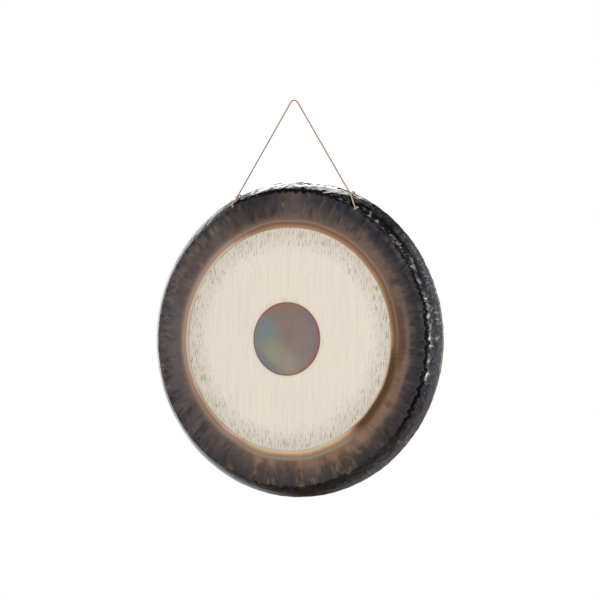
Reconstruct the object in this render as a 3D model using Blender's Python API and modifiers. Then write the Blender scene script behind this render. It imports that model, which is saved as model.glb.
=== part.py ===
"""Tam tam gong hung on a cord.

The frame: metres, +Z up, the gong's face towards -Y. The origin is the point where the cord's crown
bears on the hook that holds the gong up. The plate's centre of mass hangs straight below it.

In the plate's own measures, a radius runs out from the gong's axis and a depth runs back from the
middle of its face. Angles round the rim are measured from the top, towards +X.
"""

import math

import bmesh
import bpy
from mathutils import Vector

# Plate
RIM_RADIUS = 0.305  # the widest circle
RIM_DEPTH = 0.090  # from the middle of the face to the back edge
SHEET = 0.0018
SHOULDER_WIDTH = 0.022  # how far the widest circle lies outside the crease
CREASE_RADIUS = RIM_RADIUS - SHOULDER_WIDTH  # where the face bends into the shoulder
FACE_CAMBER = 0.0025  # how far the crease lies behind the middle of the face
SHOULDER_DEPTH = 0.035  # depth of the widest circle
RIM_ROUND = 0.010  # outer radius of the bend at the widest circle
RIM_TAPER = math.radians(22)  # how the rim leans in behind the widest circle
CENTRE_DISC_RADIUS = 0.071
LIGHT_DISC_RADIUS = 0.2126

# Cord holes, drilled on the crease
HOLE_RADIUS = 0.0018
HOLE_HALF_ANGLE = math.radians(27.2)
GONG_TURN = math.radians(1.85)  # the plate sits turned by this in its cord

# Cord
CORD_RADIUS = 0.00125
KNOT_RADIUS = 0.0036
KNOT_ANGLE = math.radians(23.5)
HOOK_RADIUS = 0.0075  # the rod that the crown is bent over
HOOK_TO_AXIS = 0.4593  # from the crown's underside down to the gong's axis
CROWN_HALF_ANGLE = math.radians(17)  # of the bend's arc that stays on the hook
GAP = 0.0003  # between touching pieces
TIP_LENGTH = 0.0012  # a cord's ends taper where they turn against each other
TIP_SHARE = 0.5

# The loop from a knot over the shoulder, through its hole, back inside the rim, round the back edge
# and forward to the knot. Each point is a radius and a depth in millimetres, and how far it is from
# the knot's angle (0) to the hole's (1).
LOOP_ROUTE = [
    (297.2, 14.8, 0.24),
    (293.2, 9.2, 0.48),
    (290.3, 5.2, 0.66),
    (288.4, 2.8, 0.79),
    (287.4, 1.9, 0.85),
    (286.0, 1.5, 0.92),
    (284.6, 1.9, 0.97),
    (283.5, 3.0, 0.99),
    (283.1, 4.6, 1.0),
    (283.1, 7.0, 1.0),
    (282.8, 11.0, 0.98),
    (281.9, 20.0, 0.93),
    (280.8, 34.0, 0.83),
    (279.6, 52.0, 0.67),
    (278.4, 70.0, 0.49),
    (277.6, 85.0, 0.33),
    (278.6, 89.4, 0.28),
    (281.4, 92.1, 0.23),
    (285.0, 91.6, 0.17),
    (287.4, 88.4, 0.12),
    (291.4, 75.2, 0.03),
    (297.6, 60.0, -0.05),
    (303.5, 45.5, -0.09),
    (306.2, 38.0, -0.09),
    (306.5, 33.4, -0.07),
    (305.0, 28.6, -0.04),
]

PLATE_STEPS = 96  # round the gong
BEND_STEPS = 5  # in the bend at the widest circle

BRONZE = ((0.075, 0.062, 0.056), 0.35, 1.0)
CORD_TAN = ((0.36, 0.25, 0.17), 0.8, 0.0)


def flank_angle():
    """The shoulder's slope: a straight line from the crease that just meets the rim's bend."""
    across = RIM_RADIUS - RIM_ROUND - CREASE_RADIUS
    back = SHOULDER_DEPTH - FACE_CAMBER
    return math.atan2(back, across) - math.asin(RIM_ROUND / math.hypot(across, back))


def face_depth(radius):
    return FACE_CAMBER * (radius / CREASE_RADIUS) ** 2


def skin(inset):
    """One skin of the sheet as (radius, depth) points, from the axis to the back edge."""
    slope = flank_angle()
    crease = CREASE_RADIUS - inset * math.tan(slope / 2)
    radii = (0, CENTRE_DISC_RADIUS, LIGHT_DISC_RADIUS, (LIGHT_DISC_RADIUS + CREASE_RADIUS) / 2, crease)
    points = [(radius, face_depth(radius) + inset) for radius in radii]
    bend = RIM_ROUND - inset
    last_turn = math.pi / 2 + RIM_TAPER
    for step in range(BEND_STEPS + 1):
        turn = slope + (last_turn - slope) * step / BEND_STEPS
        radius = RIM_RADIUS - RIM_ROUND + bend * math.sin(turn)
        points.append((radius, SHOULDER_DEPTH - bend * math.cos(turn)))
    radius, depth = points[-1]
    points.append((radius - (RIM_DEPTH - depth) * math.tan(RIM_TAPER), RIM_DEPTH))
    return points


def mass_depth():
    """Depth of the plate's centre of mass, from the sheet's middle surface."""
    area = moment = 0.0
    middle = skin(SHEET / 2)
    for (r0, d0), (r1, d1) in zip(middle, middle[1:]):
        band = math.hypot(r1 - r0, d1 - d0) * (r0 + r1)
        area += band
        moment += band * (d0 * (2 * r0 + r1) + d1 * (r0 + 2 * r1)) / (3 * (r0 + r1))
    return moment / area


def on_rim(radius, depth, angle):
    """A point of the plate's measures in the part's frame."""
    across, up = radius * math.sin(angle), radius * math.cos(angle)
    return Vector((across, depth - mass_depth(), up - HOOK_TO_AXIS))


def knot_centre(side):
    """A knot rests on the shoulder's outside, at the depth of the centre of mass."""
    slope = flank_angle()
    height = KNOT_RADIUS + GAP
    depth = mass_depth()
    radius = CREASE_RADIUS + (height + (depth - FACE_CAMBER) * math.cos(slope)) / math.sin(slope)
    return on_rim(radius, depth, side * KNOT_ANGLE)


def hole_angle(side):
    return GONG_TURN + side * HOLE_HALF_ANGLE


def arc_point(angle):
    """On the crown's centreline, at an angle from its top towards +X."""
    bend = HOOK_RADIUS + CORD_RADIUS
    return Vector((bend * math.sin(angle), 0, bend * math.cos(angle) - HOOK_RADIUS))


def bend_half_angle():
    """Where the cord leaves the hook's round to run straight to the right knot."""
    knot = knot_centre(1) - Vector((0, 0, -HOOK_RADIUS))
    bend = HOOK_RADIUS + CORD_RADIUS
    return math.atan2(knot.x, knot.z) - math.acos(bend / knot.length)


def material(name, look):
    colour, roughness, metallic = look
    made = bpy.data.materials.new(name)
    made.use_nodes = True
    surface = made.node_tree.nodes["Principled BSDF"]
    surface.inputs["Base Color"].default_value = (*colour, 1)
    surface.inputs["Roughness"].default_value = roughness
    surface.inputs["Metallic"].default_value = metallic
    made.diffuse_color = (*colour, 1)
    return made


def collection(name):
    made = bpy.data.collections.new(name)
    bpy.context.scene.collection.children.link(made)
    return made


def pivot(name, place, parent=None):
    """An empty on a joint's axis, which carries the pieces that turn there."""
    empty = bpy.data.objects.new(name, None)
    empty.empty_display_size = 0.02
    empty.location = place - (parent.matrix_world.translation if parent else Vector())
    empty.parent = parent
    PARTS.objects.link(empty)
    bpy.context.view_layer.update()
    return empty


def tube(name, points, parent, tips=(False, False)):
    """A stretch of cord along points of the part's frame. A tip tapers where it turns on a neighbour."""
    origin = parent.matrix_world.translation
    points = [Vector(p) for p in points]
    shares = [1.0] * len(points)
    for end, tapered in zip((0, -1), tips):
        if tapered:
            neighbour = points[1] if end == 0 else points[-2]
            inward = (neighbour - points[end]).normalized() * TIP_LENGTH
            shares[end] = TIP_SHARE
            at = 1 if end == 0 else len(points) - 1
            points.insert(at, points[end] + inward)
            shares.insert(at, 1.0)
    curve = bpy.data.curves.new(name, "CURVE")
    curve.dimensions = "3D"
    curve.bevel_depth = CORD_RADIUS
    curve.bevel_resolution = 2
    curve.use_fill_caps = True
    spline = curve.splines.new("POLY")
    spline.points.add(len(points) - 1)
    for spot, place, share in zip(spline.points, points, shares):
        spot.co = (*(place - origin), 1)
        spot.radius = share
    spline.use_smooth = True
    curve.materials.append(material(name, CORD_TAN))
    made = bpy.data.objects.new(name, curve)
    made.parent = parent
    PARTS.objects.link(made)
    return made


def cord_arc(name, start, end, parent, tips):
    """A stretch of the crown's arc, between two angles."""
    steps = max(2, round(abs(end - start) / math.radians(12)))
    points = [arc_point(start + (end - start) * step / steps) for step in range(steps + 1)]
    return tube(name, points, parent, tips)


def cord_leg(name, side, parent):
    """The straight, taut stretch from the end of a bend down to its knot."""
    top = arc_point(side * bend_half_angle())
    knot = knot_centre(side)
    along = (knot - top).normalized()
    start = top + along * GAP
    end = knot - along * (KNOT_RADIUS + GAP)
    middle = [start.lerp(end, step / 4) for step in range(5)]
    return tube(name, middle, parent, (True, False))


def cord_knot(name, side, parent):
    mesh = bpy.data.meshes.new(name)
    shape = bmesh.new()
    bmesh.ops.create_uvsphere(shape, u_segments=16, v_segments=10, radius=KNOT_RADIUS)
    shape.to_mesh(mesh)
    shape.free()
    mesh.shade_smooth()
    mesh.materials.append(material(name, CORD_TAN))
    made = bpy.data.objects.new(name, mesh)
    made.parent = parent
    made.location = knot_centre(side) - parent.matrix_world.translation
    PARTS.objects.link(made)
    return made


def rim_loop(name, side, parent):
    """The cord from its knot through the hole and back round the rim."""
    knot_angle = side * KNOT_ANGLE
    across = hole_angle(side) - knot_angle
    route = [
        on_rim(radius / 1000, depth / 1000, knot_angle + across * share)
        for radius, depth, share in LOOP_ROUTE
    ]
    knot = knot_centre(side)
    ends = [knot + (spot - knot).normalized() * (KNOT_RADIUS + GAP) for spot in (route[0], route[-1])]
    return tube(name, [ends[0], *route, ends[1]], parent)


def hole_cutter(name, side):
    """A drill through the face, square to it."""
    mesh = bpy.data.meshes.new(name)
    shape = bmesh.new()
    length = 8 * SHEET
    bmesh.ops.create_cone(
        shape, cap_ends=True, segments=16, radius1=HOLE_RADIUS, radius2=HOLE_RADIUS, depth=length
    )
    shape.to_mesh(mesh)
    shape.free()
    made = bpy.data.objects.new(name, mesh)
    made.location = on_rim(CREASE_RADIUS, FACE_CAMBER + SHEET / 2, hole_angle(side))
    made.rotation_euler.x = math.radians(90)
    made.hide_render = True
    made.display_type = "WIRE"
    CUTTERS.objects.link(made)
    return made


def gong_plate(name, parent):
    """The forged plate: the sheet's outer skin out to the back edge and its inner skin back in."""
    outline = [*skin(0), *reversed(skin(SHEET))]
    mesh = bpy.data.meshes.new(name)
    shape = bmesh.new()
    spots = [shape.verts.new((radius, 0, -depth)) for radius, depth in outline]
    for a, b in zip(spots, spots[1:]):
        shape.edges.new((a, b))
    shape.to_mesh(mesh)
    shape.free()
    mesh.materials.append(material(name, BRONZE))
    made = bpy.data.objects.new(name, mesh)
    made.parent = parent
    made.location = on_rim(0, 0, 0) - parent.matrix_world.translation
    made.rotation_euler.x = math.radians(90)
    PARTS.objects.link(made)
    turn = made.modifiers.new("turned", "SCREW")
    turn.axis = "Z"
    turn.angle = math.tau
    turn.steps = turn.render_steps = PLATE_STEPS
    turn.use_merge_vertices = True
    turn.merge_threshold = 0.00001
    turn.use_smooth_shade = True
    for side, word in ((-1, "left"), (1, "right")):
        cut = made.modifiers.new("hole_" + word, "BOOLEAN")
        cut.operation = "DIFFERENCE"
        cut.object = hole_cutter("hole_cutter_" + word, side)
    return made


for old in list(bpy.data.objects):
    bpy.data.objects.remove(old)

PARTS = collection("tam_tam_gong")
CUTTERS = collection("cutters")

SWING_PLACE = Vector((0, 0, arc_point(bend_half_angle()).z))
NOD_PLACE = Vector((0, 0, knot_centre(1).z))

hook_point = pivot("hook_point", Vector())
turn_axis = pivot("turn_axis", Vector(), hook_point)
swing_axis = pivot("swing_axis", SWING_PLACE, turn_axis)
nod_axis = pivot("nod_axis", NOD_PLACE, swing_axis)

ARC_GAP = GAP / (HOOK_RADIUS + CORD_RADIUS)

cord_arc("cord_crown", -CROWN_HALF_ANGLE, CROWN_HALF_ANGLE, hook_point, (True, True))
for side, word in ((-1, "left"), (1, "right")):
    near = side * (CROWN_HALF_ANGLE + ARC_GAP)
    far = side * bend_half_angle()
    cord_arc("cord_bend_" + word, near, far, turn_axis, (True, True))
    cord_leg("cord_leg_" + word, side, swing_axis)
    cord_knot("cord_knot_" + word, side, nod_axis)
    rim_loop("rim_loop_" + word, side, nod_axis)
gong_plate("gong_plate", nod_axis)
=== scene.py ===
"""The looks of the tam tam gong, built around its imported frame.

The gong's own measures, as in the frame: metres, +Z up, the face towards -Y. A radius runs out from the
gong's axis, a depth back from the middle of its face, and an angle round it from the top towards +X.
"""

import math

import bmesh
import bpy
import numpy as np
from mathutils import Matrix, Vector


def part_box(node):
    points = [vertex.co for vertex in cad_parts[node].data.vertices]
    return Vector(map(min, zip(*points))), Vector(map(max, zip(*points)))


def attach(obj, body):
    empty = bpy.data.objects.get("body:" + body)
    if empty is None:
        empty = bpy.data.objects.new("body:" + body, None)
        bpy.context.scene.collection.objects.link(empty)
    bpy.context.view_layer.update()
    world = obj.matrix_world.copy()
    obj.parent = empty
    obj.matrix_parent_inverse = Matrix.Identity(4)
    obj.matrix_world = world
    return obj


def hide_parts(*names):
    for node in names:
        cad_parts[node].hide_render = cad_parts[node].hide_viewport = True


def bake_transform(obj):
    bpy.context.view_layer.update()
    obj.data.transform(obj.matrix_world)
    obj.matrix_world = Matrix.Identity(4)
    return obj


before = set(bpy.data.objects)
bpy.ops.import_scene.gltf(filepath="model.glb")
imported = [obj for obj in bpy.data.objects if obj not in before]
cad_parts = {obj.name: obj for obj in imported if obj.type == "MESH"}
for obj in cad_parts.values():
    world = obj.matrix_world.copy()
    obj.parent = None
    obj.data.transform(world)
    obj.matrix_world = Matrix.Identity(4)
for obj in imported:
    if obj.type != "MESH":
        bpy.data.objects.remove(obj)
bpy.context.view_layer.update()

# The frame's gong
PLATE_LOW, PLATE_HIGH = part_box("gong_plate")
RIM_RADIUS = (PLATE_HIGH.x - PLATE_LOW.x) / 2
FACE_CENTRE = Vector((0, PLATE_LOW.y, (PLATE_LOW.z + PLATE_HIGH.z) / 2))
SHEET = 0.0018
MM = 0.001

# Zones of the face, as radii
CENTRE_DISC = 0.0705
PALE_DISC = 0.2127
CREASE = 0.283
FACE_CAMBER = 0.0025
BANDS_WIDTH = 0.024  # of the heat colours beside the pale disc
RING_START, RING_WIDTH = 0.213, 0.070  # of the flames' fade, out to the crease

# Radii of the face's rings of vertices in millimetres
FACE_RADII = [
    5, 12, 24, 40, 56, 66, 71, 80, 96, 116, 136, 156, 176, 194, 206, 212.7, 218, 224, 230, 237, 244, 251,
    258, 264, 269, 273,
]  # fmt: skip
# The shoulder and rim's outside, from the face to the back edge, as radius and depth in millimetres
SHOULDER = [
    (276.5, 2.39), (280.0, 2.65), (283.0, 3.75), (286.0, 6.35), (290.0, 11.0), (295.0, 17.7),
    (299.5, 24.4), (303.0, 30.7), (304.7, 35.2), (304.3, 40.0), (302.0, 45.6), (294.0, 65.0),
    (284.3, 89.0), (283.7, 89.9),
]  # fmt: skip
COLUMNS = 960  # vertices round the gong
HAMMERED_STEP = 0.0017  # between rows of vertices on the shoulder and rim
EDGE_ROUND = 0.00008  # how far the middle of the back edge stands proud
SPAN_STEPS = 24  # between the given points of a smooth curve

# Hammer marks
BLOWS_SEED = 24
CREASE_BLOWS, FACE_BLOWS = 180, 320
SHOULDER_RADIUS = 0.298  # round which the marks of a row are counted
RIM_START = 0.327  # along the profile
# The rows over the shoulder and then the rim: where along the profile they start and end, the step from
# row to row and from mark to mark, how far a mark strays round the gong, in steps, and along the profile,
# and the least and greatest depth in millimetres
BLOW_ROWS = [
    (0.298, 0.318, 0.0090, 0.0125, 0.6, 0.0042, 0.17, 0.85),
    (RIM_START, 0.382, 0.0100, 0.0140, 0.5, 0.0045, 0.35, 1.05),
]

# Cord
CORD_RADIUS = 0.00125
HOOK_RADIUS = 0.0075
BEND_RADIUS = HOOK_RADIUS + CORD_RADIUS
CORD_STEP = 0.0008  # between points along a cord
STRANDS = 3
STRAND_RADIUS = CORD_RADIUS * 0.52
STRAND_SIDES = 9
LAY_LENGTH = 0.0085  # along the cord for one turn of its strands
HOOK_STEPS = 24  # round the hook
ASLANT = (0.31, 0.95, 0.05)  # a direction that no cord starts along
KNOT_ANGLE = math.radians(23.5)
KNOT_HEIGHT = 0.0039  # of a knot's centre over the shoulder
KNOT_DEPTH = -FACE_CENTRE.y  # straight under the hook
KNOT_INSIDE = 0.0022  # how far from a knot's centre its loop starts and ends
FLANK_SLOPE = math.radians(52.96)  # of the shoulder under a knot, from the plane of the face
HOLE_RADIUS = 0.0018
DRILL_LENGTH = 10 * SHEET
HOLE_HALF_ANGLE = math.radians(27.2)
GONG_TURN = math.radians(1.85)  # of both holes, against the knots

# From a knot over the shoulder, through its hole, back inside the rim, round the back edge and forward
# to the knot: radius and depth in metres, and the share from the knot's angle to the hole's
LOOP_ROUTE = [
    (0.2972, 0.0148, 0.24), (0.2932, 0.0092, 0.48), (0.2903, 0.0052, 0.66), (0.2884, 0.0028, 0.79),
    (0.2874, 0.0019, 0.85), (0.2860, 0.0015, 0.92), (0.2846, 0.0019, 0.97), (0.2835, 0.0030, 0.99),
    (0.2831, 0.0046, 1.0), (0.2831, 0.0070, 1.0), (0.2828, 0.0110, 0.98), (0.2819, 0.0200, 0.93),
    (0.2808, 0.0340, 0.83), (0.2796, 0.0520, 0.67), (0.2784, 0.0700, 0.49), (0.2776, 0.0850, 0.33),
    (0.2786, 0.0894, 0.28), (0.2814, 0.0921, 0.23), (0.2850, 0.0916, 0.17), (0.2874, 0.0884, 0.12),
    (0.2914, 0.0752, 0.03), (0.2976, 0.0600, -0.05), (0.3035, 0.0455, -0.09), (0.3062, 0.0380, -0.09),
    (0.3065, 0.0334, -0.07), (0.3050, 0.0286, -0.04),
]  # fmt: skip

# Camera
LENS = 95.1
CAMERA_TOWARD = (24.544, -1.462)  # azimuth and elevation from the gong in degrees
CAMERA_ROLL = math.radians(0.771)
CAMERA_DISTANCE = 3.029
CAMERA_SIDE = 0.0248  # how far the aim passes to the right of the face's middle
CAMERA_RISE = 0.0747  # and above it

# Stage
FLOOR_SIZE = 9.0
FLOOR_DROP = 1.0  # below the gong's middle
LAMP_DISTANCE = 2.2
UPRIGHT = (0, 0, 1)
DULL_LIGHT = 0.85  # the white world's strength on dull surfaces


def on_gong(radius, depth, angle):
    """A point of the gong's measures in the frame."""
    return FACE_CENTRE + Vector((radius * math.sin(angle), depth, radius * math.cos(angle)))


def direction(azimuth, elevation):
    """A direction from the gong's middle, in degrees, with azimuth 0 in front and 90 to the right."""
    a, e = math.radians(azimuth), math.radians(elevation)
    return Vector((math.sin(a) * math.cos(e), -math.cos(a) * math.cos(e), math.sin(e)))


def placed(name, data):
    """A new object in the scene."""
    made = bpy.data.objects.new(name, data)
    bpy.context.scene.collection.objects.link(made)
    return made


# ---------------------------------------------------------------- camera


def make_camera():
    back = direction(*CAMERA_TOWARD)
    right = (-back).cross(Vector(UPRIGHT)).normalized()
    up = right.cross(-back)
    place = FACE_CENTRE + CAMERA_SIDE * right + CAMERA_RISE * up + CAMERA_DISTANCE * back
    turned_right = math.cos(CAMERA_ROLL) * right + math.sin(CAMERA_ROLL) * up
    turned_up = math.cos(CAMERA_ROLL) * up - math.sin(CAMERA_ROLL) * right
    data = bpy.data.cameras.new("camera")
    data.lens = LENS
    camera = placed("camera", data)
    axes = Matrix((turned_right, turned_up, back)).transposed()
    camera.matrix_world = Matrix.Translation(place) @ axes.to_4x4()
    bpy.context.scene.camera = camera


# ---------------------------------------------------------------- curves


def lengths_along(line):
    """The length from a line's first point to each of its points."""
    return np.concatenate([[0], np.cumsum(np.linalg.norm(np.diff(line, axis=0), axis=1))])


def tangents_of(line):
    tangents = np.gradient(line, axis=0)
    return tangents / np.linalg.norm(tangents, axis=1)[:, None]


def smooth(points, step):
    """Points a step apart along a Catmull-Rom curve through the given ones."""
    given = np.array([tuple(p) for p in points], float)
    first = 2 * given[0] - given[1]
    last = 2 * given[-1] - given[-2]
    ends = np.vstack([first, given, last])
    spans = []
    for index in range(1, len(ends) - 2):
        before, a, b, after = ends[index - 1 : index + 3]
        share = np.linspace(0, 1, SPAN_STEPS, endpoint=False)[:, None]
        chord = np.linalg.norm(b - a)
        slope_a = (b - before) * chord / (np.linalg.norm(a - before) + chord)
        slope_b = (after - a) * chord / (np.linalg.norm(after - b) + chord)
        cubed, squared = share**3, share**2
        spans.append(
            (2 * cubed - 3 * squared + 1) * a
            + (cubed - 2 * squared + share) * slope_a
            + (3 * squared - 2 * cubed) * b
            + (cubed - squared) * slope_b
        )
    line = np.vstack([*spans, given[-1:]])
    along = lengths_along(line)
    count = max(2, round(along[-1] / step) + 1)
    wanted = np.linspace(0, along[-1], count)
    return np.column_stack([np.interp(wanted, along, line[:, k]) for k in range(line.shape[1])])


def normals_along(path):
    """Two normals at each point of a path, which turn as little as they can."""
    tangents = tangents_of(path)
    normal = np.cross(tangents[0], ASLANT)
    normals = []
    for tangent in tangents:
        normal = normal - tangent * normal.dot(tangent)
        normal /= np.linalg.norm(normal)
        normals.append(normal)
    return np.array(normals), np.cross(tangents, normals)


def sweep(path, radius, sides):
    """Vertices and faces of a tube along a path, closed at both ends."""
    normals, sideways = normals_along(path)
    angles = np.linspace(0, math.tau, sides, endpoint=False)[None, :, None]
    ring = np.cos(angles) * normals[:, None] + np.sin(angles) * sideways[:, None]
    vertices = (path[:, None] + ring * radius).reshape(-1, 3)
    faces = []
    for row in range(len(path) - 1):
        for side in range(sides):
            a, b = row * sides + side, row * sides + (side + 1) % sides
            faces.append((a, b, b + sides, a + sides))
    last = (len(path) - 1) * sides
    faces.append(tuple(reversed(range(sides))))
    faces.append(tuple(range(last, last + sides)))
    return vertices, faces


def mesh_object(name, vertices, faces, material):
    mesh = bpy.data.meshes.new(name)
    mesh.from_pydata([tuple(v) for v in vertices], [], faces)
    mesh.materials.append(material)
    mesh.shade_smooth()
    mesh.validate()
    return placed(name, mesh)


def twisted_cord(name, path, start=0.0):
    """A cord of three strands laid round each other along a path. start is the cord's length before it."""
    along = start + lengths_along(path)
    normals, sideways = normals_along(path)
    offset = CORD_RADIUS - STRAND_RADIUS
    vertices, faces = [], []
    for strand in range(STRANDS):
        turn = math.tau * (along / LAY_LENGTH + strand / STRANDS)
        line = path + offset * (np.cos(turn)[:, None] * normals + np.sin(turn)[:, None] * sideways)
        more, sides = sweep(line, STRAND_RADIUS, STRAND_SIDES)
        base = strand * len(more)
        vertices.append(more)
        faces += [tuple(base + index for index in face) for face in sides]
    return mesh_object(name, np.vstack(vertices), faces, CORD)


# ---------------------------------------------------------------- materials


# Colours of the fired ring from the pale disc out: a share of its width and a screen colour
FLAMES = [
    (0.0, (176, 150, 127)), (0.07, (150, 120, 98)), (0.14, (134, 109, 93)), (0.24, (116, 97, 86)),
    (0.36, (98, 85, 79)), (0.55, (82, 73, 71)), (0.76, (71, 65, 64)), (0.90, (62, 58, 61)),
    (1.0, (50, 48, 52)),
]  # fmt: skip
# And of the narrow bands beside the disc, which take turns round the gong
GOLD = [
    (0.0, (186, 180, 160)), (0.18, (206, 184, 148)), (0.32, (192, 152, 110)), (0.44, (168, 130, 104)),
    (0.54, (144, 122, 120)), (0.63, (134, 138, 116)), (0.74, (154, 134, 108)), (0.87, (148, 114, 92)),
    (1.0, (126, 101, 83)),
]  # fmt: skip
COPPER = [
    (0.0, (128, 118, 104)), (0.06, (198, 182, 163)), (0.18, (206, 186, 168)), (0.26, (192, 146, 124)),
    (0.36, (164, 136, 120)), (0.50, (156, 140, 128)), (0.66, (132, 113, 104)), (1.0, (100, 88, 85)),
]  # fmt: skip
BRONZE = [
    (0.0, (172, 146, 122)), (0.06, (160, 134, 110)), (0.16, (164, 122, 94)), (0.24, (150, 111, 86)),
    (0.36, (126, 95, 76)), (0.44, (124, 98, 82)), (0.55, (140, 116, 102)), (0.74, (114, 95, 84)),
    (1.0, (95, 81, 74)),
]  # fmt: skip
DARK = [
    (0.0, (190, 174, 152)), (0.09, (168, 148, 126)), (0.18, (92, 66, 46)), (0.40, (86, 59, 41)),
    (0.60, (96, 70, 51)), (0.80, (118, 90, 70)), (1.0, (128, 101, 80)),
]  # fmt: skip


class Shader:
    """A material's node tree, with short calls for the nodes that are used here."""

    def __init__(self, name):
        self.material = bpy.data.materials.new(name)
        self.material.use_nodes = True
        self.tree = self.material.node_tree
        self.surface = self.tree.nodes["Principled BSDF"]

    def node(self, kind, values=(), **settings):
        """A new node with its settings and the values of its sockets, in order or in a dictionary."""
        made = self.tree.nodes.new(kind)
        for name, value in settings.items():
            setattr(made, name, value)
        pairs = values.items() if isinstance(values, dict) else enumerate(values)
        for key, value in pairs:
            self.plug(value, made.inputs[key])
        return made

    def plug(self, value, socket):
        if isinstance(value, bpy.types.NodeSocket):
            self.tree.links.new(value, socket)
        elif isinstance(value, (tuple, list)) and socket.type == "RGBA":
            socket.default_value = (*value[:3], 1)
        else:
            socket.default_value = value

    def math(self, operation, a, b=0.0, c=0.0):
        return self.node("ShaderNodeMath", (a, b, c), operation=operation).outputs[0]

    def fold(self, operation, values):
        total = values[0]
        for value in values[1:]:
            total = self.math(operation, total, value)
        return total

    def add(self, *values):
        return self.fold("ADD", values)

    def times(self, *values):
        return self.fold("MULTIPLY", values)

    def most(self, *values):
        return self.fold("MAXIMUM", values)

    def less(self, a, b):
        return self.math("SUBTRACT", a, b)

    def length(self, x, y):
        return self.math("SQRT", self.add(self.times(x, x), self.times(y, y)))

    def share(self, value, start, width):
        """How far a value has come from start, as a share of width."""
        return self.math("MULTIPLY_ADD", value, 1 / width, -start / width)

    def step(self, value, low, high, to_low=0.0, to_high=1.0):
        """A smooth step from one number to another as the value goes from low to high."""
        values = (value, low, high, to_low, to_high)
        return self.node("ShaderNodeMapRange", values, interpolation_type="SMOOTHSTEP").outputs[0]

    def fall(self, value, low, high):
        return self.step(value, low, high, 1.0, 0.0)

    def mix(self, share, a, b, kind="MIX"):
        values = {0: share, 6: a, 7: b}
        return self.node("ShaderNodeMix", values, data_type="RGBA", blend_type=kind).outputs[2]

    def blend(self, share, shade, other):
        return self.mix(share, colour(*shade), colour(*other))

    def paint(self, under, shade, *shares):
        """A screen colour laid over another, as thickly as all its shares multiplied."""
        return self.mix(self.times(*shares), under, colour(*shade))

    def shaded(self, tone, shade):
        return self.mix(1.0, tone, self.grey(shade), "MULTIPLY")

    def grey(self, value):
        return self.vector(value, value, value)

    def vector(self, x, y, z):
        return self.node("ShaderNodeCombineXYZ", (x, y, z)).outputs[0]

    def noise(self, place, scale, detail, roughness=0.5):
        """Noise about 0, mostly between -1 and 1."""
        values = {"Vector": place, "Scale": scale, "Detail": detail, "Roughness": roughness}
        made = self.node("ShaderNodeTexNoise", values)
        return self.math("MULTIPLY_ADD", made.outputs[0], 4.0, -2.0)

    def cells(self, place, scale, randomness):
        """Cells of about 1 / scale across: the distance from a cell's middle, 0 to 1, and its own number."""
        values = {"Vector": place, "Scale": scale, "Randomness": randomness}
        made = self.node("ShaderNodeTexVoronoi", values)
        split = self.node("ShaderNodeSeparateXYZ", [made.outputs["Color"]])
        return made.outputs["Distance"], split.outputs[0]

    def ramp(self, value, stops):
        """Colours along a value. Each stop is a place and a screen colour."""
        made = self.node("ShaderNodeValToRGB", [value])
        ramp = made.color_ramp
        ramp.interpolation = "EASE"
        while len(ramp.elements) < len(stops):
            ramp.elements.new(0.5)
        for element, (place, shade) in zip(ramp.elements, stops):
            element.position = place
            element.color = (*colour(*shade), 1)
        return made.outputs[0]

    def bump(self, height, distance):
        made = self.node("ShaderNodeBump", {"Height": height, "Distance": distance})
        self.set(Normal=made.outputs[0])

    def place(self):
        """The object's own coordinates, as three numbers and as a vector."""
        coordinates = self.node("ShaderNodeTexCoord").outputs["Object"]
        return (*self.node("ShaderNodeSeparateXYZ", [coordinates]).outputs, coordinates)

    def attribute(self, name):
        return self.node("ShaderNodeAttribute", attribute_name=name).outputs["Fac"]

    def set(self, **inputs):
        for name, value in inputs.items():
            self.plug(value, self.surface.inputs[name.replace("_", " ")])


def colour(red, green, blue):
    """A screen colour of 0 to 255 as the linear one that a shader takes."""
    shares = (red / 255, green / 255, blue / 255)
    return tuple(c / 12.92 if c <= 0.04045 else ((c + 0.055) / 1.055) ** 2.4 for c in shares)


class Polar:
    """A gong shader's places: across and up on the face, radius, angle, and arc.

    The arc is the length along the profile from the axis, which is the radius as far as the crease.
    """

    def __init__(self, shader):
        self.s = shader
        self.across, _, self.up, self.place = shader.place()
        self.radius = shader.length(self.across, self.up)
        self.angle = shader.math("ARCTAN2", self.across, self.up)
        self.arc = shader.attribute("arc")

    def streaks(self, round_scale, out_scale, detail, roughness=0.55):
        """Noise in streaks that run out from the middle, by its scale round the gong and outwards."""
        s = self.s
        place = s.vector(
            s.times(s.math("SINE", self.angle), round_scale),
            s.times(s.math("COSINE", self.angle), round_scale),
            s.times(self.arc, out_scale),
        )
        return s.noise(place, 1.0, detail, roughness)

    def brushed(self, across_scale, layer, up_scale, roughness=0.5):
        """Noise drawn out upwards. Each layer has a pattern of its own."""
        s = self.s
        place = s.vector(s.times(self.across, across_scale), layer, s.times(self.up, up_scale))
        return s.noise(place, 1.0, 2.0, roughness)

    def sector(self, middle, half, soft, wander=0.0):
        """1 inside a sector, given by its middle and half width in degrees, with soft edges."""
        s = self.s
        turned = s.less(self.angle, math.radians(middle))
        away = s.add(s.math("ABSOLUTE", s.math("WRAP", turned, math.pi, -math.pi)), wander)
        return s.fall(away, math.radians(half - soft), math.radians(half + soft))

    def band(self, start, end, soft, value=None):
        """1 between two arcs in millimetres, or two of another value, with soft edges."""
        s = self.s
        value = self.arc if value is None else value
        rise = s.step(value, (start - soft) * MM, (start + soft) * MM)
        fall = s.fall(value, (end - soft) * MM, (end + soft) * MM)
        return s.times(rise, fall)


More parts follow.
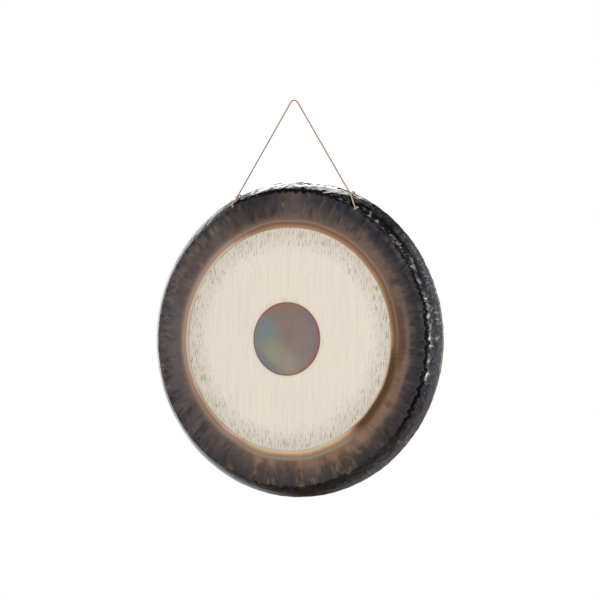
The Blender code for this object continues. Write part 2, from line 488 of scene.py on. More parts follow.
def brushed_disc(s, polar):
    """The pale disc: fine upright brushing, with dark, green and pink flecks towards its edge."""
    fine = polar.brushed(900, 0.0, 11)
    broad = polar.brushed(170, 3.0, 4)
    cloud = s.noise(polar.place, 9.0, 1.0)
    shade = s.add(1.074, s.times(fine, 0.054), s.times(broad, 0.026), s.times(cloud, 0.012))
    shade = s.less(shade, s.step(polar.radius, 0.165, 0.213, 0.0, 0.15))
    base = s.shaded(colour(229, 221, 206), shade)
    hue = polar.brushed(380, 9.0, 14)
    base = s.paint(base, (224, 202, 184), s.step(hue, 0.2, 1.0), 0.45)
    base = s.paint(base, (212, 214, 190), s.fall(hue, -1.0, -0.2), 0.40)
    flecks = polar.brushed(560, 7.0, 58, 0.6)
    gathered = s.times(polar.brushed(26, 5.0, 26), 0.14)
    limit = s.step(polar.radius, 0.105, 0.209, 1.10, 0.12)
    limit = s.less(limit, s.times(s.fall(polar.radius, 0.074, 0.100), 0.72))
    amount = s.times(s.step(s.less(s.add(flecks, gathered), limit), 0.0, 0.42), 0.66)
    tint = s.add(polar.brushed(60, 2.0, 30), s.times(polar.across, 2.4))
    warm = s.blend(s.step(tint, -0.2, 0.5), (116, 122, 104), (164, 118, 98))
    return s.mix(amount, base, warm), fine


def centre_disc(s, polar):
    """The middle disc's heat tint: mauve, turning teal and olive to the left and red at its right edge."""
    tint = s.blend(s.step(polar.up, -0.07, 0.07), (148, 135, 127), (143, 123, 116))
    spots = [
        (-0.044, 0.014, 0.046, 0.9, (122, 140, 142)), (-0.050, 0.038, 0.024, 0.6, (130, 132, 144)),
        (-0.030, -0.030, 0.046, 0.9, (151, 155, 127)), (0.004, -0.050, 0.036, 0.8, (163, 150, 131)),
        (0.040, -0.020, 0.034, 0.5, (130, 126, 128)), (0.004, 0.004, 0.030, 0.5, (142, 118, 115)),
    ]  # fmt: skip
    for across, up, reach, share, shade in spots:
        away = s.length(s.less(polar.across, across), s.less(polar.up, up))
        tint = s.paint(tint, shade, s.fall(away, 0.0, reach), share)
    edge = s.step(polar.radius, 0.048, 0.062)
    rim = s.step(polar.radius, 0.058, 0.067)
    arcs = [
        (72, 44, 26, edge, 0.55, (120, 118, 134)), (222, 26, 18, edge, 0.75, (122, 124, 138)),
        (-8, 40, 24, rim, 0.75, (160, 118, 98)), (104, 50, 26, rim, 0.70, (160, 104, 98)),
    ]  # fmt: skip
    for middle, half, soft, where, share, shade in arcs:
        tint = s.paint(tint, shade, polar.sector(middle, half, soft), where, share)
    tint = s.shaded(tint, s.add(1.066, s.times(polar.brushed(500, 4.0, 9), 0.045)))
    return s.paint(tint, (112, 88, 84), s.step(polar.radius, 0.0660, 0.0690), 0.40)


def flame_ring(s, polar):
    """The fired ring between the pale disc and the crease: brown and blue-black tongues on a grey fade."""
    fingers = polar.streaks(12.0, 14.0, 3.0, 0.5)
    thin = polar.streaks(42.0, 44.0, 2.0, 0.5)
    finest = polar.streaks(150.0, 60.0, 2.0, 0.5)
    tongues = polar.streaks(15.0, 27.0, 3.0, 0.5)
    bold = polar.streaks(15.0, 28.0, 3.0, 0.5)
    slim = polar.streaks(27.0, 44.0, 2.0, 0.5)
    clouds = polar.streaks(7.0, 30.0, 2.0, 0.5)
    warm = polar.sector(146, 50, 34)
    low = polar.sector(168, 40, 22)
    left = polar.sector(278, 50, 26)
    reach = s.step(polar.radius, 0.220, 0.242)
    out = s.share(polar.arc, RING_START, RING_WIDTH)
    shift = s.times(reach, s.add(s.times(fingers, 0.23), s.times(thin, 0.05), s.times(warm, -0.14)))
    tone = s.ramp(s.add(out, shift), FLAMES)
    far = s.step(out, 0.16, 0.50)
    # Painted sheen: the outer ring lighter at the left
    tone = s.paint(tone, (95, 86, 84), left, far, 0.6)
    tone = s.paint(tone, (140, 110, 88), polar.sector(134, 40, 20), polar.band(231, 249, 6.0), 0.62)
    tone = s.paint(tone, (128, 100, 82), polar.sector(52, 16, 10), polar.band(228, 249, 5.0), 0.5)
    marks = s.add(slim, s.times(thin, 0.35))
    few = s.times(s.step(s.add(marks, s.times(clouds, 0.7)), 0.60, 1.40), 0.80)
    smudge = s.add(polar.streaks(25.0, 26.0, 2.0), s.times(fingers, 0.4))
    not_low = s.less(1.0, low)
    above = s.times(not_low, far)
    tone = s.paint(tone, (114, 98, 90), s.step(smudge, -0.1, 1.1), above, 0.50)
    many = s.times(s.step(s.add(bold, s.times(thin, 0.35)), 0.0, 0.95), 0.74)
    brown = s.add(s.times(not_low, few), s.times(low, many))
    tone = s.paint(tone, (138, 110, 86), brown, far)
    bluish = s.times(s.step(s.less(s.times(clouds, 1.2), smudge), -0.1, 1.5), above, 0.75)
    tone = s.paint(tone, (50, 53, 65), bluish)
    dark = s.blend(warm, (44, 43, 49), (46, 39, 37))
    tone = s.mix(s.times(s.step(tongues, 0.0, 1.0), far, 0.62), tone, dark)
    tone = s.paint(tone, (47, 45, 48), polar.sector(88, 62, 24), s.step(out, 0.50, 0.78), 0.55)
    mottles = s.step(s.noise(polar.place, 48.0, 3.0), -0.5, 0.7)
    slate = s.times(polar.sector(12, 36, 14), polar.band(260, 281, 8.0), mottles)
    tone = s.paint(tone, (44, 47, 58), slate, 0.65)
    dusty = s.times(polar.sector(300, 34, 16), polar.band(258, 274, 5.0), s.step(marks, -0.6, 0.8), 0.6)
    tone = s.paint(tone, (120, 104, 94), dusty)
    tone = s.paint(tone, (50, 42, 42), polar.sector(342, 12, 7), far, 0.45)
    tone = s.paint(tone, (106, 92, 86), polar.sector(2, 6, 5), s.step(out, 0.16, 0.40), 0.5)
    hatch = s.times(s.step(polar.streaks(34.0, 60.0, 2.0), 0.0, 0.9), polar.band(265, 283, 6.0), 0.65)
    tone = s.paint(tone, (36, 34, 39), hatch, not_low)
    # Painted highlight on the inner side of the crease at the right
    worn = s.times(polar.sector(62, 28, 14), polar.band(272, 279, 2.5), s.step(slim, -0.5, 0.6), 0.6)
    tone = s.paint(tone, (90, 86, 88), worn)
    # Painted sheen: a neutral grey-blue lightening of the ring at the left
    tone = s.paint(tone, (100, 98, 101), polar.sector(272, 20, 14), polar.band(232, 256, 8.0), 0.5)
    shade = s.add(1.0, s.times(thin, 0.12), s.times(finest, 0.035))
    return s.shaded(tone, shade), finest


def edge_bands(s, polar, tone):
    """Heat colours in the narrow bands just outside the pale disc, which change round the gong."""
    place = s.add(polar.arc, s.times(polar.streaks(3.2, 0.0, 3.0), 0.0016))
    out = s.share(place, PALE_DISC, BANDS_WIDTH)
    gold, copper, bronze, dark = [s.ramp(out, stops) for stops in (GOLD, COPPER, BRONZE, DARK)]
    ragged = s.times(polar.streaks(60.0, 20.0, 2.0), 0.04)
    pale = s.less(1.0, s.times(polar.sector(230, 14, 9, ragged), 0.55))
    band = s.mix(s.times(polar.sector(268, 64, 12, ragged), pale), bronze, copper)
    band = s.mix(s.times(polar.sector(84, 18, 10, ragged), 0.30), band, dark)
    band = s.mix(s.times(polar.sector(118, 22, 6, ragged), 0.94), band, dark)
    band = s.mix(polar.sector(172, 30, 7, ragged), band, gold)
    lobe = s.times(polar.sector(88, 16, 10, ragged), polar.band(229, 240, 2.5))
    tone = s.mix(s.fall(out, 0.62, 1.0), tone, band)
    tone = s.paint(tone, (98, 73, 56), lobe, 0.8)
    return s.paint(tone, (130, 106, 88), polar.sector(96, 22, 14, ragged), polar.band(243, 250, 4.0), 0.65)


def shoulder_tones(s, polar, tone):
    """The hammered shoulder and rim: black at the crease, partly scale and partly a painted dark reflection,
    then patches of navy, grey or brown.
    """
    along_rim = polar.streaks(20.0, 130.0, 3.0, 0.55)
    dashes = polar.streaks(11.0, 230.0, 3.0, 0.55)
    blotches = s.noise(polar.place, 42.0, 4.0, 0.6)
    # Metal in patches round the gong
    patchy = s.step(along_rim, -0.7, 0.8)
    navy = s.blend(patchy, (50, 49, 56), (74, 72, 80))
    soft_brown = s.blend(patchy, (50, 45, 43), (76, 70, 68))
    umber = s.blend(patchy, (30, 22, 19), (52, 42, 37))
    iron = s.blend(patchy, (26, 25, 25), (50, 48, 48))
    metal = s.mix(polar.sector(136, 24, 14), iron, soft_brown)
    metal = s.mix(polar.sector(178, 20, 16), metal, umber)
    metal = s.mix(polar.sector(84, 32, 14), metal, navy)
    metal = s.paint(metal, (60, 52, 48), s.step(blotches, 0.2, 1.0), 0.3)
    # Painted sheen: lighter towards the outer edge at the right and lower right
    metal = s.paint(metal, (96, 91, 92), s.step(polar.arc, 0.302, 0.312), polar.sector(108, 56, 8), 0.6)
    upper = polar.sector(10, 42, 14)
    # Black strokes of scale at the top, then a duller stretch at the left, and painted sheen at the left and
    # below
    strokes = s.add(dashes, s.times(s.noise(polar.place, 95.0, 2.0), 0.5))
    fewer = s.times(polar.sector(-8, 22, 10), polar.band(294.5, 305, 1.5), 0.55)
    fewer = s.less(fewer, s.times(polar.sector(8, 16, 8), s.step(polar.arc, 0.306, 0.311), 0.32))
    ends = s.add(polar.arc, s.times(blotches, 0.006), s.times(along_rim, 0.004))
    scale = s.times(s.step(s.less(strokes, fewer), 0.15, 0.55), s.fall(ends, 0.318, 0.330))
    matte = s.times(scale, upper)
    scale = s.times(scale, s.add(0.10, s.times(upper, 0.85)))
    metal = s.paint(metal, (12, 11, 12), scale)
    dull = s.times(polar.sector(282, 50, 16), s.step(polar.arc, 0.287, 0.291))
    metal = s.paint(metal, (12, 11, 12), dull, 0.8)
    # Painted sheen just outside the crease at the left, and towards the outer edge low down at the left
    sheen = s.times(polar.sector(298, 48, 14), s.fall(polar.arc, 0.2840, 0.2880))
    metal = s.paint(metal, (116, 115, 118), sheen, 0.85)
    metal = s.paint(metal, (140, 139, 138), polar.sector(200, 16, 9), s.step(polar.arc, 0.298, 0.310), 0.55)
    metal = s.mix(s.step(polar.arc, 0.322, 0.330), metal, rim_tones(s, polar))
    # Painted sparkle and painted glints on the right, and a painted shadow above them
    painted_sparkle = s.add(s.noise(polar.place, 210.0, 2.0, 0.6), s.times(s.noise(polar.place, 60.0, 2.0), 0.6))
    painted_sparkle = s.times(s.step(painted_sparkle, 0.30, 1.0), polar.band(297, 322, 3.0), polar.sector(98, 52, 10))
    metal = s.paint(metal, (128, 127, 128), painted_sparkle, 0.60)
    painted_glints = s.add(polar.streaks(66.0, 125.0, 2.0), s.times(along_rim, 0.3))
    painted_glints = s.times(s.step(painted_glints, 0.25, 0.8), polar.band(302, 322, 3.0), polar.sector(72, 20, 9))
    metal = s.paint(metal, (160, 159, 161), painted_glints, 0.62)
    shadow = s.times(polar.sector(50, 26, 12), polar.band(289, 300, 2.5), s.step(dashes, -1.2, 0.2))
    metal = s.paint(metal, (15, 14, 15), shadow, 0.85)
    # The black crease with its ragged edge: partly scale and partly a painted dark reflection, at the right,
    # below and at the top
    teeth = s.add(polar.arc, s.times(polar.streaks(30.0, 24.0, 3.0), 0.0048))
    tone = s.mix(s.step(teeth, 0.2800, 0.2840), tone, metal)
    wider = s.less(teeth, s.times(polar.sector(112, 22, 10), 0.0018))
    crease = s.times(s.step(teeth, 0.2795, 0.2820), s.fall(wider, 0.2868, 0.2892))
    right = s.add(polar.sector(78, 44, 16), s.times(polar.sector(138, 34, 14), 0.62))
    broken = s.times(polar.sector(126, 26, 10), s.step(blotches, -0.2, 0.8), 0.55)
    crease = s.times(crease, right, s.less(1.0, broken))
    under = s.times(polar.sector(160, 46, 18), polar.band(286, 298, 3.0, teeth), 0.45)
    band = s.times(upper, polar.band(281, 293.5, 2.5, teeth), s.step(dashes, -1.3, -0.5))
    black = s.most(crease, under, s.times(band, 0.94))
    # Painted highlight in a band just outside the crease at the right, where the lamps' flashes fall
    beside = s.add(teeth, s.times(polar.sector(44, 20, 12), 0.0045))
    painted_flash = s.times(s.step(beside, 0.2868, 0.2890), s.fall(beside, 0.2935, 0.2965))
    painted_flash = s.times(painted_flash, s.step(along_rim, -0.5, 0.3, 1.0, 0.1), polar.sector(68, 36, 8))
    tone = s.paint(tone, (112, 111, 111), painted_flash, 0.8)
    matte = s.times(matte, s.step(polar.arc, 0.296, 0.302), 0.9)
    dull = s.times(dull, polar.band(288, 302, 3.0), s.add(0.42, s.times(polar.sector(240, 14, 8), 0.45)))
    # Sooty metal mirrors less, at its edges too, and so does the metal under the painted dark reflection and
    # painted shadow
    soot_and_painted_shade = s.most(
        s.times(black, 0.85),
        s.times(polar.sector(166, 30, 22), 0.7),
        shadow,
        s.times(scale, upper, 1.5),
        dull,
    )
    # Painted dark reflection, partly scale: the black band along the crease
    tone = s.paint(tone, (20, 18, 20), black, 0.92)
    # Painted highlights on the ridges between the dents beside the crease, at the right, and along the
    # crease's lip
    dent = s.attribute("hammer")
    ridge_highlight = s.add(dent, s.times(s.noise(polar.place, 130.0, 2.0), 0.12))
    row = s.less(polar.arc, s.times(polar.sector(96, 24, 10), 0.0032))
    ridge_highlight = s.times(s.fall(ridge_highlight, 0.14, 0.40), polar.band(285.5, 297, 1.2, row))
    ridge_highlight = s.times(ridge_highlight, polar.sector(68, 42, 8), s.step(along_rim, -0.9, 0.4, 1.0, 0.25))
    ridge_highlight = s.times(ridge_highlight, s.less(0.90, s.times(polar.sector(58, 12, 8), 0.35)))
    tone = s.paint(tone, (184, 182, 180), ridge_highlight)
    # Painted highlight along the crease's lip at the right
    lip_highlight = s.times(polar.sector(88, 36, 10), polar.band(278.9, 279.7, 0.5, teeth))
    comes = s.step(polar.streaks(34.0, 60.0, 2.0), -0.4, 0.6)
    tone = s.paint(tone, (116, 114, 114), lip_highlight, comes, 0.75)
    return tone, blotches, soot_and_painted_shade, matte


def rim_tones(s, polar):
    """The turned-back rim: fired scale in brown, black and blue, dark in the dents and worn between."""
    clouds = s.noise(polar.place, 13.0, 3.0, 0.6)
    spots = s.noise(polar.place, 70.0, 3.0, 0.6)
    along_rim = polar.streaks(26.0, 150.0, 2.0, 0.5)
    rim = s.blend(s.step(clouds, -0.8, 0.8), (36, 33, 35), (84, 68, 58))
    rim = s.paint(rim, (52, 55, 66), s.step(spots, 0.1, 1.1), 0.6)
    rim = s.paint(rim, (24, 22, 24), s.step(along_rim, 0.2, 1.2), 0.5)
    dent = s.attribute("hammer")
    rim = s.paint(rim, (22, 20, 22), s.step(dent, 0.35, 0.9), 0.55)
    worn = s.times(s.fall(s.add(dent, s.times(spots, 0.06)), 0.02, 0.20), 0.55)
    rim = s.paint(rim, (128, 106, 86), worn)
    edge = s.step(s.add(polar.arc, s.times(spots, 0.0006)), 0.3805, 0.3830)
    return s.paint(rim, (142, 116, 90), edge, 0.7)


def gong_front():
    """Everything on the sheet's outside, from the middle of the face to the back edge."""
    s = Shader("gong_bronze_outside")
    polar = Polar(s)
    tone, fine_round = flame_ring(s, polar)
    tone = edge_bands(s, polar, tone)
    tone, blotches, soot_and_painted_shade, matte = shoulder_tones(s, polar, tone)
    pale, fine_up = brushed_disc(s, polar)
    nick = polar.brushed(700, 1.0, 90)
    edge = s.add(polar.radius, s.times(nick, 0.0006))
    in_pale = s.fall(edge, PALE_DISC - 0.0005, PALE_DISC + 0.0005)
    in_middle = s.fall(polar.radius, CENTRE_DISC - 0.0006, CENTRE_DISC + 0.0006)
    pale = s.paint(pale, (232, 205, 188), s.fall(polar.radius, CENTRE_DISC, 0.077), 0.55)
    tone = s.mix(in_pale, tone, pale)
    tone = s.mix(in_middle, tone, centre_disc(s, polar))
    on_shoulder = s.step(polar.arc, 0.276, 0.284)
    rough_ring = s.add(0.36, s.times(fine_round, 0.03))
    rough_pale = s.add(0.60, s.times(fine_up, 0.03))
    rough_rim = s.add(s.step(polar.arc, 0.286, 0.300, 0.14, 0.20), s.times(blotches, 0.04))
    not_pale = s.less(1.0, in_pale)
    rough_dark = s.add(s.times(s.less(1.0, on_shoulder), rough_ring), s.times(on_shoulder, rough_rim))
    rough = s.add(s.times(in_pale, rough_pale), s.times(not_pale, rough_dark))
    edge_tint = s.most(s.less(1.0, s.times(soot_and_painted_shade, on_shoulder, 0.62)), 0.05)
    s.set(Base_Color=tone, Roughness=rough, Specular_Tint=s.grey(edge_tint))
    s.set(Metallic=s.less(1.0, matte), Specular_IOR_Level=0.0)
    grain = s.noise(polar.place, 330.0, 3.0, 0.6)
    height = s.add(
        s.times(in_pale, fine_up, 0.25),
        s.times(not_pale, fine_round, 0.25),
        s.times(on_shoulder, grain, 0.18),
    )
    s.bump(height, 0.00006)
    return s.material


def gong_back():
    """The sheet's inside: fired scale in brown and blue-black, dimpled all over by the hammer."""
    s = Shader("gong_bronze_inside")
    polar = Polar(s)
    clouds = s.noise(polar.place, 8.0, 4.0, 0.6)
    blotches = s.noise(polar.place, 30.0, 4.0, 0.62)
    streaks = polar.streaks(26.0, 16.0, 3.0)
    ragged = s.times(s.noise(polar.place, 60.0, 2.0), 0.0022)
    stirred = s.vector(s.add(polar.across, ragged), s.add(polar.arc, ragged), polar.up)
    dimple, own = s.cells(stirred, 40.0, 0.9)
    hollow = s.step(dimple, 0.10, 0.62)
    tone = s.blend(s.step(clouds, -0.9, 0.9), (58, 51, 50), (112, 88, 68))
    tone = s.paint(tone, (50, 54, 64), s.step(blotches, 0.0, 1.1), 0.6)
    tone = s.paint(tone, (120, 96, 76), s.step(own, 0.45, 1.0), 0.35)
    tone = s.paint(tone, (42, 38, 40), s.fall(own, 0.0, 0.4), 0.35)
    # Painted shade: each dimple darker towards its edge
    tone = s.paint(tone, (40, 36, 38), hollow, 0.42)
    tone = s.paint(tone, (138, 110, 84), s.fall(polar.arc, 0.05, 0.12), 0.45)
    tone = s.paint(tone, (126, 98, 74), polar.band(203, 222, 8.0), 0.4)
    tone = s.paint(tone, (48, 50, 60), polar.band(232, 276, 12.0), 0.45)
    tone = s.paint(tone, (30, 28, 31), polar.band(279, 291, 4.0), 0.75)
    dent = s.times(s.step(s.attribute("hammer"), 0.3, 0.9), s.step(polar.arc, 0.286, 0.292))
    tone = s.paint(tone, (116, 96, 78), dent, 0.5)
    tone = s.shaded(tone, s.add(1.0, s.times(streaks, 0.10)))
    s.set(Base_Color=tone, Roughness=s.add(0.34, s.times(blotches, 0.05)), Metallic=1.0)
    grain = s.noise(polar.place, 300.0, 3.0)
    s.bump(s.add(s.times(hollow, s.fall(polar.arc, 0.270, 0.285)), s.times(grain, 0.05)), 0.0007)
    return s.material


def cord_fibre():
    """Twisted yarn, tan along the legs and paler from just above the knots down, over the knots and loops.
    """
    s = Shader("cord_yarn")
    *_, up, place = s.place()
    hairs = s.noise(place, 2600.0, 3.0, 0.6)
    lengths = s.noise(place, 160.0, 2.0)
    knots = knot_centre(1).z
    from_knots_down = s.fall(up, knots - 0.004, knots + 0.010)
    worn = s.step(lengths, -0.8, 0.9)
    tone = s.blend(worn, (166, 100, 46), (202, 134, 70))
    pale = s.blend(worn, (196, 172, 150), (226, 206, 188))
    tone = s.mix(from_knots_down, tone, pale)
    tone = s.paint(tone, (232, 182, 134), s.step(hairs, 0.1, 1.1), 0.3)
    s.set(Base_Color=tone, Roughness=0.82, Sheen_Weight=0.1, Sheen_Roughness=0.5)
    s.bump(hairs, 0.00012)
    return s.material


# ---------------------------------------------------------------- the gong


def gong_stations():
    """The outside's profile from near the axis to the back edge: radius, depth and length along it."""
    face = [radius * MM for radius in FACE_RADII]
    flat = np.array([(radius, FACE_CAMBER * (radius / CREASE) ** 2) for radius in face])
    turned = smooth([(radius * MM, depth * MM) for radius, depth in SHOULDER], HAMMERED_STEP)
    line = np.vstack([flat, turned])
    line[:, 0] = np.minimum(line[:, 0], RIM_RADIUS)
    along = flat[0, 0] + lengths_along(line)
    tangents = tangents_of(line)
    inward = np.column_stack([-tangents[:, 1], tangents[:, 0]])
    return line, along, inward


def hammer_blows():
    """Where the hammer fell: length along the profile, angle, radius and depth of each mark."""
    rng = np.random.default_rng(BLOWS_SEED)
    blows = []
    for index in range(CREASE_BLOWS):
        angle = (index + rng.uniform(-0.9, 0.9)) / CREASE_BLOWS * math.tau
        depth = rng.uniform(0.3, 1.9) * MM
        # The row spreads outwards at the right
        wider = math.exp(-(((angle - 1.6) / 0.32) ** 2))
        place = 0.2888 + 0.0028 * wider + rng.normal(0, 0.0026 + 0.0014 * wider)
        blows.append((place, angle, rng.uniform(4.5, 9) * MM, depth))
    for start, end, row_step, step, astray, aside, shallow, deep in BLOW_ROWS:
        count = round(math.tau * SHOULDER_RADIUS / step)
        for arc in np.arange(start, end, row_step):
            for index in range(count):
                angle = (index + rng.uniform(-astray, astray)) / count * math.tau
                place = arc + rng.uniform(-aside, aside)
                blows.append((place, angle, rng.uniform(8, 13) * MM, rng.uniform(shallow, deep) * MM))
    for _ in range(FACE_BLOWS):
        angle = rng.uniform(0, math.tau)
        place = 0.279 - abs(rng.normal(0, 0.010))
        blows.append((place, angle, rng.uniform(6, 11) * MM, rng.uniform(0.04, 0.20) * MM))
    return blows


def hammered(line, along):
    """Depth of the hammered surface under the plain one, at each station and column."""
    marks = np.zeros((len(line), COLUMNS))
    angles = np.arange(COLUMNS) / COLUMNS * math.tau
    for arc, angle, radius, depth in hammer_blows():
        low, high = np.searchsorted(along, (arc - radius, arc + radius))
        if low >= high:
            continue
        mean_radius = line[(low + high) // 2 if high < len(line) else low, 0]
        reach = int(radius / mean_radius / math.tau * COLUMNS) + 1
        middle = int(round(angle / math.tau * COLUMNS))
        columns = np.arange(middle - reach, middle + reach + 1) % COLUMNS
        turned = (angles[columns] - angle + math.pi) % math.tau - math.pi
        away = (along[low:high, None] - arc) ** 2 + (turned[None] * line[low:high, :1]) ** 2
        mark = depth * np.clip(1 - away / radius**2, 0, None)
        marks[low:high, columns] = np.maximum(marks[low:high, columns], mark)
    # In front, the left and the bottom are worked smoother than the top and the right
    smoothed = np.clip((RIM_START - along[:, None]) / 0.008, 0, 1)
    marks *= 1 - smoothed * 0.38 * (1 - np.sin(angles + 0.5)[None])
    slow = 0.35 * MM * (1 + np.sin(angles * 7 + 1.1) * 0.5 + np.sin(angles * 17 + 0.4) * 0.5)
    marks += slow[None] * np.clip((along[:, None] - 0.290) / 0.02, 0, 1)
    return marks


def drilled(gong):
    """Both cord holes, cut square through the face."""
    for side in (-1, 1):
        mesh = bpy.data.meshes.new("drill")
        shape = bmesh.new()
        size = dict(radius1=HOLE_RADIUS, radius2=HOLE_RADIUS, depth=DRILL_LENGTH)
        bmesh.ops.create_cone(shape, cap_ends=True, segments=32, **size)
        shape.to_mesh(mesh)
        shape.free()
        drill = placed("drill", mesh)
        drill.location = on_gong(CREASE, FACE_CAMBER + SHEET / 2, GONG_TURN + side * HOLE_HALF_ANGLE)
        drill.rotation_euler.x = math.radians(90)
        cut = gong.modifiers.new("hole", "BOOLEAN")
        cut.operation = "DIFFERENCE"
        cut.object = drill
        bpy.context.view_layer.update()
        kept = bpy.data.meshes.new_from_object(gong.evaluated_get(bpy.context.evaluated_depsgraph_get()))
        gong.modifiers.clear()
        gong.data = kept
        bpy.data.objects.remove(drill)


def make_gong():
    line, along, inward = gong_stations()
    marks = hammered(line, along)
    outside = line[:, None] + marks[..., None] * inward[:, None]
    inside = outside + SHEET * inward[:, None]
    edge = (outside[-1:] + inside[-1:]) / 2 + np.array((0, EDGE_ROUND))
    sections = np.concatenate([outside, edge, inside[::-1]])
    arcs = np.concatenate([along, along[-1:], along[::-1]])
    marks = np.concatenate([marks, marks[-1:], marks[::-1]])
    angles = np.arange(COLUMNS) / COLUMNS * math.tau
    radii, depths = sections[..., 0], sections[..., 1]
    places = np.stack([radii * np.sin(angles), depths, radii * np.cos(angles)], axis=-1)
    rows = len(sections)
    vertices = np.vstack([places.reshape(-1, 3), (0, 0, 0), (0, SHEET, 0)])
    front, rear = rows * COLUMNS, rows * COLUMNS + 1
    column = np.arange(COLUMNS)
    following = (column + 1) % COLUMNS
    faces = []
    for row in range(rows - 1):
        a, b = row * COLUMNS + column, row * COLUMNS + following
        faces += np.column_stack([a, b, b + COLUMNS, a + COLUMNS]).tolist()
    faces += np.column_stack([np.full(COLUMNS, front), following, column]).tolist()
    last = (rows - 1) * COLUMNS
    faces += np.column_stack([last + column, last + following, np.full(COLUMNS, rear)]).tolist()
    gong = mesh_object("forged_gong", vertices, faces, gong_front())
    gong.data.materials.append(gong_back())
    inside_faces = np.zeros(len(faces), np.int32)
    first_inside = len(line) * COLUMNS
    inside_faces[first_inside : (rows - 1) * COLUMNS] = 1
    inside_faces[(rows - 1) * COLUMNS + COLUMNS :] = 1
    gong.data.polygons.foreach_set("material_index", inside_faces)
    for name, values in (("arc", np.repeat(arcs, COLUMNS)), ("hammer", marks.ravel() / MM)):
        layer = gong.data.attributes.new(name, "FLOAT", "POINT")
        layer.data.foreach_set("value", np.concatenate([values, [0, 0]]).astype(np.float32))
    gong.location = FACE_CENTRE
    bpy.context.view_layer.update()
    drilled(gong)
    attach(gong, "gong")
    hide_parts("gong_plate")


# ---------------------------------------------------------------- the cord


def knot_centre(side):
    out = KNOT_HEIGHT + (KNOT_DEPTH - FACE_CAMBER) * math.cos(FLANK_SLOPE)
    radius = CREASE + out / math.sin(FLANK_SLOPE)
    return on_gong(radius, KNOT_DEPTH, side * KNOT_ANGLE)


def bend_half_angle():
    """Where the cord leaves the hook to run straight to a knot."""
    knot = knot_centre(1) + Vector((0, 0, HOOK_RADIUS))
    return math.atan2(knot.x, knot.z) - math.acos(BEND_RADIUS / knot.length)


def hanging_path():
    """The cord from the left knot over the hook to the right knot, and how many steps each leg has."""
    half = bend_half_angle()
    crown = [
        Vector((BEND_RADIUS * math.sin(angle), 0, BEND_RADIUS * math.cos(angle) - HOOK_RADIUS))
        for angle in (half * (2 * step / HOOK_STEPS - 1) for step in range(HOOK_STEPS + 1))
    ]
    knots = [knot_centre(-1), knot_centre(1)]
    leg = (crown[0] - knots[0]).length
    straight = round(leg / CORD_STEP)
    left = [knots[0].lerp(crown[0], step / straight) for step in range(straight)]
    right = [crown[-1].lerp(knots[1], (step + 1) / straight) for step in range(straight)]
    return np.array([tuple(p) for p in (*left, *crown, *right)]), straight


def make_hanging_cord():
    path, straight = hanging_path()
    along = lengths_along(path)
    overlap = 1  # step
    off_hook = straight + HOOK_STEPS
    pieces = {
        "left_leg_cord": (0, straight + overlap),
        "crown_cord": (straight - overlap, off_hook + overlap),
        "right_leg_cord": (off_hook - overlap, len(path) - 1),
    }
    made = {}
    for name, (first, last) in pieces.items():
        part = path[first : last + 1]
        made[name] = twisted_cord(name, part, along[first])
        if name == "crown_cord":
            continue
        side = "left" if "left" in name else "right"
        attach(made[name], "cord_legs")
        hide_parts("cord_leg_" + side)
    crown = made["crown_cord"]
    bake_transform(crown)
    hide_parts("cord_crown", "cord_bend_left", "cord_bend_right")


def make_knot(side, word):
    """A barrel knot: the cord wound close round the leg and the loop."""
    centre = knot_centre(side)
    top = Vector((side * BEND_RADIUS * math.sin(bend_half_angle()), 0, 0))
    axis = (top - centre).normalized()
    across = axis.cross(Vector((0, 1, 0))).normalized()
    other = axis.cross(across)
    turns, rise, winding, steps = 2.5, 0.0021, 0.0019, 120
    path = []
    for step in range(steps + 1):
        share = step / steps
        angle = math.tau * turns * share
        height = rise * turns * (share - 0.5)
        path.append(centre + axis * height + winding * (across * math.cos(angle) + other * math.sin(angle)))
    knot = twisted_cord(word + "_knot", np.array([tuple(p) for p in path]))
    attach(knot, "gong")
    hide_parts("cord_knot_" + word)
    return knot


def make_rim_loop(side, word, knot):
    start = side * KNOT_ANGLE
    across = GONG_TURN + side * HOLE_HALF_ANGLE - start
    route = [on_gong(radius, depth, start + across * share) for radius, depth, share in LOOP_ROUTE]
    centre = knot_centre(side)
    ends = [centre.lerp(spot, KNOT_INSIDE / (spot - centre).length) for spot in (route[0], route[-1])]
    path = smooth([ends[0], *route, ends[1]], CORD_STEP)
    loop = twisted_cord(word + "_rim_cord", path)
    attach(loop, "gong")
    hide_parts("rim_loop_" + word)


# ---------------------------------------------------------------- the stage


def softbox(name, toward, size, brightness, long=UPRIGHT, distance=LAMP_DISTANCE):
    """A soft light in a direction from the gong's middle, its width lying along the direction long.

    Its brightness is what a mirror would show of it.
    """
    data = bpy.data.lights.new(name, "AREA")
    data.shape = "RECTANGLE"
    data.size, data.size_y = size
    data.energy = brightness * math.pi * size[0] * size[1]
    light = placed(name, data)
    outward = Vector(toward).normalized()
    width = Vector(long) - outward * outward.dot(Vector(long))
    width.normalize()
    turned = Matrix((width, outward.cross(width), outward)).transposed()
    light.matrix_world = Matrix.Translation(FACE_CENTRE + distance * outward) @ turned.to_4x4()
    light.visible_camera = False
    light.visible_diffuse = False


def white_to(tree, directly):
    """1 for what the camera, a mirror or glass sees, and 0 for the light on dull surfaces."""
    path = tree.nodes.new("ShaderNodeLightPath")
    seen = path.outputs["Is Camera Ray"]
    for name in ("Is Glossy Ray", "Is Transmission Ray"):
        either = tree.nodes.new("ShaderNodeMath")
        either.operation = "MAXIMUM"
        tree.links.new(seen, either.inputs[0])
        tree.links.new(path.outputs[name], either.inputs[1])
        seen = either.outputs[0]
    tree.links.new(seen, directly)


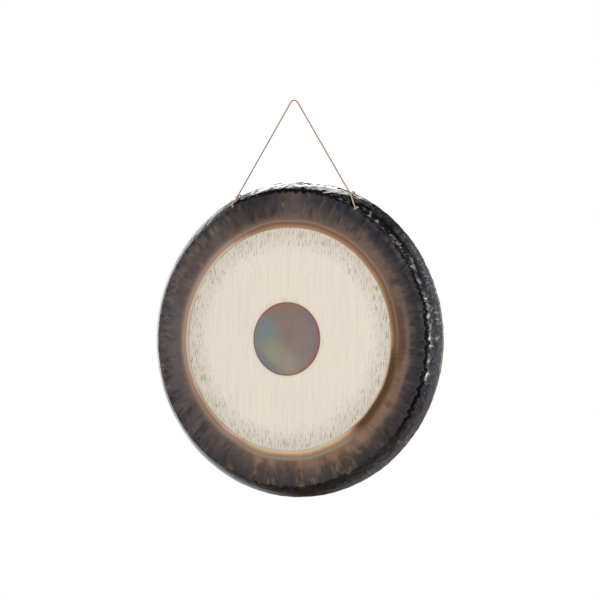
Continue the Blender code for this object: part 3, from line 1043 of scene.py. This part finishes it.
def make_stage():
    world = bpy.data.worlds.new("studio")
    world.use_nodes = True
    bpy.context.scene.world = world
    tree = world.node_tree
    backdrop = tree.nodes["Background"]
    backdrop.inputs["Color"].default_value = (1, 1, 1, 1)
    strength = tree.nodes.new("ShaderNodeMath")
    strength.operation = "MULTIPLY_ADD"
    strength.inputs[1].default_value = 1 - DULL_LIGHT
    strength.inputs[2].default_value = DULL_LIGHT
    white_to(tree, strength.inputs[0])
    tree.links.new(strength.outputs[0], backdrop.inputs["Strength"])

    bpy.ops.mesh.primitive_plane_add(size=FLOOR_SIZE, location=(0, 0, FACE_CENTRE.z - FLOOR_DROP))
    floor = bpy.context.object
    floor.name = "floor"
    s = Shader("floor_white")
    s.set(Base_Color=(0.8, 0.8, 0.8), Roughness=0.9)
    glow = s.node("ShaderNodeEmission")
    both = s.node("ShaderNodeMixShader", {1: s.surface.outputs[0], 2: glow.outputs[0]})
    white_to(s.tree, both.inputs[0])
    s.tree.links.new(both.outputs[0], s.tree.nodes["Material Output"].inputs["Surface"])
    floor.data.materials.append(s.material)

    # Overhead and behind: the top of the shoulder mirrors it in bright strokes, and the discs faintly
    softbox("overhead_softbox", (-0.25, 0.52, 0.81), (1.75, 0.90), 13, (0.67, -0.34, 0.5), 2.4)
    # An upright strip at the right and one that leans over the gong: the hammered edge beside the crease
    # mirrors them in flashes
    softbox("right_strip", direction(75, 0), (1.45, 0.40), 3.2)
    softbox("leaning_strip", direction(50, 57), (1.6, 0.38), 6, (-0.74, -0.03, 0.93))
    # Behind: the shoulder and rim mirror them at the right and left, and the inside's dimples do so too
    softbox("right_rear_strip", direction(122, 5), (2.0, 0.5), 3)
    softbox("rear_softbox", direction(168, 14), (0.9, 0.9), 2.6)
    softbox("left_rear_softbox", direction(-122, 5), (2.2, 1.0), 1.25)
    bpy.context.scene.view_settings.view_transform = "Standard"


CORD = cord_fibre()
make_camera()
make_hanging_cord()
for side, word in ((-1, "left"), (1, "right")):
    make_rim_loop(side, word, make_knot(side, word))
make_gong()
make_stage()
